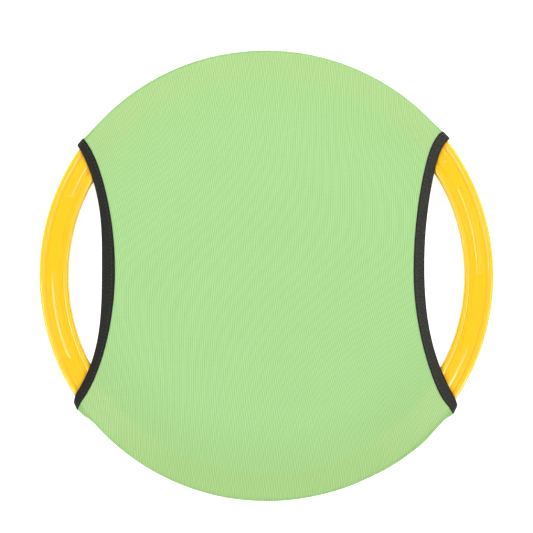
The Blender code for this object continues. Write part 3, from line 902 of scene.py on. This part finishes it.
def knit_panel(name, side, material):
    """One face of the sleeve, from opening to opening and round both covered rims to the seam."""
    left = EdgeBetween(LEFT_FOLD, LEFT_OPEN, KNIT_END_SHARE)
    right = EdgeBetween(RIGHT_FOLD, RIGHT_OPEN, KNIT_END_SHARE)
    plan, top_angles, bottom_angles = field_grid(left, right)
    top_hold = [rim_hold(angle, *TOP_RIM) for angle in top_angles]
    bottom_hold = [rim_hold(angle, *BOTTOM_RIM) for angle in bottom_angles]
    height = settle_height(plan, [hold[0] for hold in top_hold], [hold[0] for hold in bottom_hold])
    height += tension_folds(plan, left, right)

    bm = bmesh.new()
    rows = []
    for plan_row, height_row in zip(plan, height):
        row = []
        for (x, y), up in zip(plan_row, height_row):
            row.append(bm.verts.new((x, y, side * (RING_HALF + up))))
        rows.append(row)
    join_rows(bm, rows)
    rims = ((rows[-1], top_angles, top_hold), (rows[0], bottom_angles, bottom_hold))
    for edge_row, angles, holds in rims:
        columns = []
        for start, angle_deg, hold in zip(edge_row, angles, holds):
            column = [start]
            for spot, up in rim_profile(angle_deg, *hold):
                column.append(bm.verts.new((spot.x, spot.y, side * up)))
            columns.append(column)
        join_rows(bm, columns)
    panel = finish_mesh(name, bm, material, SOFT_SHARP_DEG)
    thickness = panel.modifiers.new("thickness", "SOLIDIFY")
    thickness.thickness = KNIT
    thickness.offset = 0.0
    return to_frame(panel)


# Bindings

TAPE_STEPS = 170
TAPE_SIDE_STEPS = 5
TAPE_FOLD_STEPS = 8
TAPE_TIP_STEPS = 6
# Shares of the way from the fold to the open edge
EDGE_SHADE_SHARE = 0.1
FOLD_SHARE = 0.13
TIP_SHARE = 0.06
SLOT_CLEARANCE = 0.04 * MM
SLOT_SHARES = (0.6, 0.25)
PLY_WAVES = ((0.3, 0.05 * MM), (0.5, 0.02 * MM), (0.7, 0.04 * MM), (0.86, -0.02 * MM))
CLOSING_WIDTH = 0.5 * MM


def tape_section():
    """Closed section of the folded tape: (share of the way from its fold to its edge, clearance)."""
    half = (TAPE_TOP - TAPE_CLEARANCE) / 2.0
    slot = KNIT / 2.0 + SLOT_CLEARANCE
    upper = []
    for step in range(TAPE_FOLD_STEPS + 1):
        angle = math.pi - math.pi / 2.0 * step / TAPE_FOLD_STEPS
        upper.append((FOLD_SHARE * (1.0 + math.cos(angle)), half * math.sin(angle)))
    upper += [(share, half + wave) for share, wave in PLY_WAVES]
    half_ply = (half - slot) / 2.0
    for step in range(1, TAPE_TIP_STEPS + 1):
        angle = math.pi / 2.0 - math.pi * step / TAPE_TIP_STEPS
        across = 1.0 - TIP_SHARE + TIP_SHARE * math.cos(angle)
        upper.append((across, slot + half_ply + half_ply * math.sin(angle)))
    upper += [(share, slot) for share in SLOT_SHARES]
    lower = [(share, -up) for share, up in reversed(upper[1:])]
    return [(share, SLOT_MIDDLE + up) for share, up in upper + lower]


def tape_line(fold, open_edge, share, clearance):
    """Closed line round an opening: over the front, round the rim, across the back and round again."""
    edge = EdgeBetween(fold, open_edge, share)
    across = edge.plan_points(RIM_RADIUS, TAPE_STEPS)
    height = RING_HALF + clearance

    def rim(corner):
        """Points round the rim at one corner, from the front to the back."""
        quarter = rim_bend(clearance, corner.stand)
        side = [
            (OUTER_BEAD + clearance + corner.stand, RIM_SHOULDER * (1.0 - 2.0 * step / TAPE_SIDE_STEPS))
            for step in range(1, TAPE_SIDE_STEPS)]
        whole = quarter + side + [(out, -up) for out, up in reversed(quarter)]
        points = []
        for out, up in whole:
            spot = corner.outside(out)
            points.append(Vector((spot.x, spot.y, up)))
        return points

    front = [Vector((point.x, point.y, height)) for point in across]
    back = [Vector((point.x, point.y, -height)) for point in reversed(across)]
    return front + rim(edge.high) + back + list(reversed(rim(edge.low)))


def binding(name, fold, open_edge, material):
    """Fold-over elastic round one opening, with its length and width in metres in the UV map."""
    section = tape_section()
    lines = [tape_line(fold, open_edge, share, clearance) for share, clearance in section]
    middle = tape_line(fold, open_edge, 0.5, SLOT_MIDDLE)
    run = [0.0]
    for point, after in zip(middle, middle[1:]):
        run.append(run[-1] + (after - point).length)
    width = abs(fold.depth - open_edge.depth)
    across = [0.0]
    for (share, up), (next_share, next_up) in zip(section, section[1:]):
        across.append(across[-1] + math.hypot((next_share - share) * width, next_up - up))

    bm = bmesh.new()
    uv_layer = bm.loops.layers.uv.new("cloth")
    edge_shade_layer = bm.verts.layers.float.new("edge")
    rows = []
    for (share, clearance), line in zip(section, lines):
        row = [bm.verts.new(point) for point in line]
        rows.append(row)
        for corner in row:
            # Marks both edges for the painted shade lines.
            corner[edge_shade_layer] = 1.0 if share < EDGE_SHADE_SHARE or share > 1.0 - EDGE_SHADE_SHARE else 0.0
    length = run[-1] + (middle[0] - middle[-1]).length
    girth = across[-1] + CLOSING_WIDTH
    count = len(run)
    for row_index, (row, after) in enumerate(zip(rows, rows[1:] + rows[:1])):
        across_low = across[row_index]
        across_high = across[row_index + 1] if row_index + 1 < len(across) else girth
        for step in range(count):
            beside = (step + 1) % count
            run_low = run[step]
            run_high = run[step + 1] if step + 1 < count else length
            face = bm.faces.new((row[step], row[beside], after[beside], after[step]))
            corners = (
                (run_low, across_low), (run_high, across_low),
                (run_high, across_high), (run_low, across_high))
            for loop, uv in zip(face.loops, corners):
                loop[uv_layer].uv = uv
    return to_frame(finish_mesh(name, bm, material, SOFT_SHARP_DEG))


STITCH_SHARE = 0.74
STITCH_LENGTH = 2.6 * MM
STITCH_PITCH = 3.4 * MM
STITCH_LIFT = 0.03 * MM
STITCH_DIP = 1.6
STITCH_TIP = 0.08
THREAD_RADIUS = 0.2 * MM
DIRECTION_REACH = 0.5 * MM
STITCH_SIDES = 8
STITCH_RINGS = 6


def spaced_line(points, pitch):
    """Points at an even pitch along a closed line, each with its direction."""
    line = np.array([tuple(point) for point in points] + [tuple(points[0])])
    steps = np.linalg.norm(np.diff(line, axis=0), axis=1)
    run = np.concatenate([[0.0], np.cumsum(steps)])
    count = int(run[-1] // pitch)

    def at(distance):
        distance = distance % run[-1]
        return Vector([float(np.interp(distance, run, line[:, axis])) for axis in range(3)])

    return [
        (at(start), (at(start + DIRECTION_REACH) - at(start - DIRECTION_REACH)).normalized())
        for start in np.linspace(0.0, run[-1], count, endpoint=False)]


def add_stitch(bm, middle, direction, outward):
    """One stitch: a short thread that dives into the cloth at both ends."""
    beside = direction.cross(outward).normalized()
    rings = []
    for ring in range(STITCH_RINGS + 1):
        share = ring / STITCH_RINGS
        off_middle = 2.0 * share - 1.0
        centre = middle + direction * STITCH_LENGTH * (share - 0.5)
        centre -= outward * THREAD_RADIUS * STITCH_DIP * off_middle ** 2
        radius = THREAD_RADIUS * math.sqrt(max(STITCH_TIP, 1.0 - off_middle ** 4))
        loop = []
        for side in range(STITCH_SIDES):
            angle = math.tau * side / STITCH_SIDES
            loop.append(bm.verts.new(
                centre + (beside * math.cos(angle) + outward * math.sin(angle)) * radius))
        rings.append(loop)
    join_rows(bm, rings, closed=True)
    bm.faces.new(rings[0])
    bm.faces.new(list(reversed(rings[-1])))


def stitching(name, fold, open_edge, material):
    """Row of stitches along the open edge of one binding, all the way round its outer side."""
    outer = tape_line(fold, open_edge, STITCH_SHARE, TAPE_TOP + STITCH_LIFT)
    inner = tape_line(fold, open_edge, STITCH_SHARE, SLOT_MIDDLE)
    line = np.array([tuple(point) for point in outer])
    bm = bmesh.new()
    for middle, direction in spaced_line(outer, STITCH_PITCH):
        nearest = int(np.argmin(np.linalg.norm(line - np.array(middle), axis=1)))
        outward = (outer[nearest] - inner[nearest]).normalized()
        outward = (outward - direction * outward.dot(direction)).normalized()
        add_stitch(bm, middle, direction, outward)
    return to_frame(finish_mesh(name, bm, material, SOFT_SHARP_DEG))


# Stage

FLOOR_HALF = 3.0
FLOOR_DROP = 0.4 * MM
WORLD_STRENGTH = 0.245
WASH_LIGHTS = (
    ("far_softbox", (0.0, 1.5, 1.5), (2.2, 1.0), 35.8),
    ("near_softbox", (0.0, -1.6, 1.15), (2.0, 0.7), 15.2),
    ("left_softbox", (-1.7, 0.0, 1.4), (1.0, 1.6), 10.5),
    ("right_softbox", (1.7, 0.0, 1.4), (1.0, 1.6), 10.5),
)
# The glints stand in a circle: each one's direction in degrees and its power.
GLINT_LIGHTS = (
    (193.0, 7.0), (218.0, 9.0), (244.0, 6.0), (270.0, 6.0),
    (296.0, 6.0), (322.0, 9.0), (345.0, 4.5), (371.0, 1.5),
)
GLINT_RADIUS = 1.45
GLINT_HEIGHT = 1.22
GLINT_SIZE = (0.62, 0.3)
LENS = 100.0
SENSOR = 36.0
VIEW_MARGIN = 1.1757
VIEW_OFFSET_X = 0.05 * MM
VIEW_OFFSET_Y = 8.2 * MM


def studio_light(name, place_at, size, power, kind):
    """Softbox aimed at the disc's middle, for the even light ("wash") or only for glints ("glint")."""
    data = bpy.data.lights.new(name, "AREA")
    data.shape = "RECTANGLE"
    data.size, data.size_y = size
    data.energy = power
    light = bpy.data.objects.new(name, data)
    light.location = place_at
    light.rotation_mode = "QUATERNION"
    light.rotation_quaternion = (-Vector(place_at)).to_track_quat("-Z", "Y")
    light.visible_glossy = kind == "glint"
    light.visible_diffuse = kind == "wash"
    bpy.context.scene.collection.objects.link(light)


def stage():
    """White sweep, soft lights round the disc, and a camera straight above it."""
    bm = bmesh.new()
    bmesh.ops.create_grid(bm, x_segments=8, y_segments=8, size=FLOOR_HALF)
    floor = finish_mesh("floor", bm, floor_material(), SOFT_SHARP_DEG)
    floor.location.z = -FLOOR_DROP

    world = bpy.data.worlds.new("studio")
    world.use_nodes = True
    background = world.node_tree.nodes["Background"]
    background.inputs["Color"].default_value = grey(1.0)
    background.inputs["Strength"].default_value = WORLD_STRENGTH
    bpy.context.scene.world = world
    bpy.context.scene.view_settings.view_transform = "Standard"

    for name, place_at, size, power in WASH_LIGHTS:
        studio_light(name, place_at, size, power, "wash")
    for turn_deg, power in GLINT_LIGHTS:
        foot = polar(GLINT_RADIUS, turn_deg)
        studio_light("glint_%d" % turn_deg, (foot.x, foot.y, GLINT_HEIGHT), GLINT_SIZE, power, "glint")

    view_width = (cad_high.x - cad_low.x) * VIEW_MARGIN
    centre = (cad_low + cad_high) / 2.0
    camera_data = bpy.data.cameras.new("camera")
    camera_data.lens = LENS
    camera_data.sensor_width = SENSOR
    camera = bpy.data.objects.new("camera", camera_data)
    camera.location = (
        centre.x + VIEW_OFFSET_X, centre.y + VIEW_OFFSET_Y, centre.z + view_width * LENS / SENSOR)
    bpy.context.scene.collection.objects.link(camera)
    bpy.context.scene.camera = camera


def main():
    plastic = ring_material()
    knit = knit_material()
    tape = tape_material()
    thread = thread_material()

    ends = zip(("right", "top", "left", "bottom"), JOINTS_DEG, JOINTS_DEG[1:])
    for side, start_deg, end_deg in ends:
        arc = ring_arc(side + "_arc_visual", start_deg, end_deg, plastic)
        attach(arc, "root")
        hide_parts(side + "_ring_arc")

    panels = (("front_knit", 1.0, "front_panel"), ("back_knit", -1.0, "back_panel"))
    for name, side, node in panels:
        panel = knit_panel(name, side, knit)
        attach(panel, "root")
        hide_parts(node)

    sides = (("right", RIGHT_FOLD, RIGHT_OPEN), ("left", LEFT_FOLD, LEFT_OPEN))
    for side, fold, open_edge in sides:
        strip = binding(side + "_tape", fold, open_edge, tape)
        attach(strip, "root")
        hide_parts(side + "_binding")
        stitches = stitching(side + "_stitches", fold, open_edge, thread)
        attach(stitches, "root")

    stage()


main()
